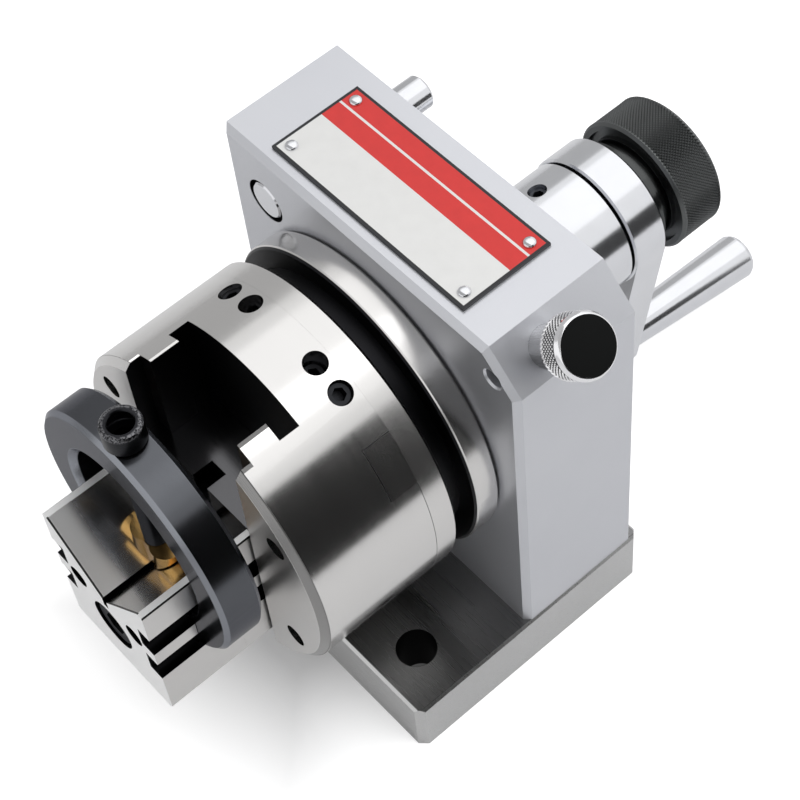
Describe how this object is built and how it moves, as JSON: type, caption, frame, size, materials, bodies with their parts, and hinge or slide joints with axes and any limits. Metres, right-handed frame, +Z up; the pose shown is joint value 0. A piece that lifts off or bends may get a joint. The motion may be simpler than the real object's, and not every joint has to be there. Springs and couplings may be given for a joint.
{
  "type": "punch grinding fixture",
  "caption": "Bench fixture for grinding round punches: an indexing spindle in an upright block carries a chuck with a cross slide, a V block and a screw-down clamp ring.",
  "frame": {"origin": "centre of the base plate's flat underside", "axes": "+Z up, -Y is the front with the V block, +X is the side with the pull knob; the spindle runs along Y 75 mm above the underside"},
  "size_m": [0.1135, 0.211, 0.138],
  "materials": {
    "satin_coat": "silver-grey satin enamel",
    "ground_steel": "turned and ground, bright",
    "ground_steel_dark": "surface ground",
    "steel": "turned",
    "bright_steel": "polished",
    "chrome": "polished",
    "black_steel": "black oxide",
    "black_oxide": "black oxide with worn bright edges",
    "bronze": "bored bronze",
    "brass": "machined brass",
    "plate_print": "printed sheet, white and red"
  },
  "bodies": {
    "base": {"base_plate": "ground_steel_dark", "headstock": "satin_coat", "headstock_bolts": "black_steel", "base_dowels": "steel", "name_plate": "plate_print", "plate_rivets": "bright_steel", "front_bush": "bronze", "rear_bush": "bronze", "rear_sleeve": "chrome", "sleeve_screw": "black_steel", "through_pin": "chrome", "plunger_grub": "black_steel", "plunger_sleeve": "steel", "plunger_spring": "steel"},
    "index_plunger": {"plunger_pin": "steel", "plunger_knob": "bright_steel", "plunger_cap": "black_steel"},
    "spindle_group": {"spindle": "steel", "index_ring": "steel", "faceplate": "ground_steel", "nose_screw": "black_steel", "chuck_body": "ground_steel", "chuck_screws": "black_steel", "chuck_set_screws": "black_steel", "side_key": "ground_steel", "knob_hub": "black_steel", "turning_knob": "black_steel", "knob_screw": "black_steel"},
    "slide_group": {"slide_block": "ground_steel_dark", "slide_screw": "black_steel", "v_block_front": "ground_steel", "v_block_rear": "ground_steel", "v_block_bolt": "black_steel", "v_block_dowels": "steel", "clamp_ring": "black_oxide"},
    "clamp_pad": {"brass_pad": "brass"},
    "clamp_screw": {"clamp_screw": "black_oxide"},
    "lock": {"lock_ring": "chrome", "lever_handle": "chrome"}
  },
  "joints": [
    {"name": "spindle_turn", "type": "hinge", "parent": "base", "child": "spindle_group", "pos_m": [0, 0, 0.075], "axis": [0, 1, 0], "continuous": true},
    {"name": "index_pull", "type": "slide", "parent": "base", "child": "index_plunger", "axis": [0.7071, 0, 0.7071], "range_m": [0, 0.0045], "stiffness_N_per_m": 400, "springref_m": -0.01, "deforming": ["plunger_spring"]},
    {"name": "slide_travel", "type": "slide", "parent": "spindle_group", "child": "slide_group", "axis": [0, 0, 1], "range_m": [-0.012, 0.006]},
    {"name": "pad_travel", "type": "slide", "parent": "slide_group", "child": "clamp_pad", "axis": [0, 0, 1], "range_m": [0, 0.026]},
    {"name": "screw_turn", "type": "hinge", "parent": "clamp_pad", "child": "clamp_screw", "pos_m": [0, -0.0684, 0.1203], "axis": [0, 0, 1], "range_deg": [0, 9361]},
    {"name": "lock_swing", "type": "hinge", "parent": "base", "child": "lock", "pos_m": [0, 0, 0.075], "axis": [0, 1, 0], "range_deg": [0, 70]}
  ],
  "couplings": [
    {"joint": "screw_turn", "follows": "pad_travel", "rad_per_m": 6283.2}
  ]
}
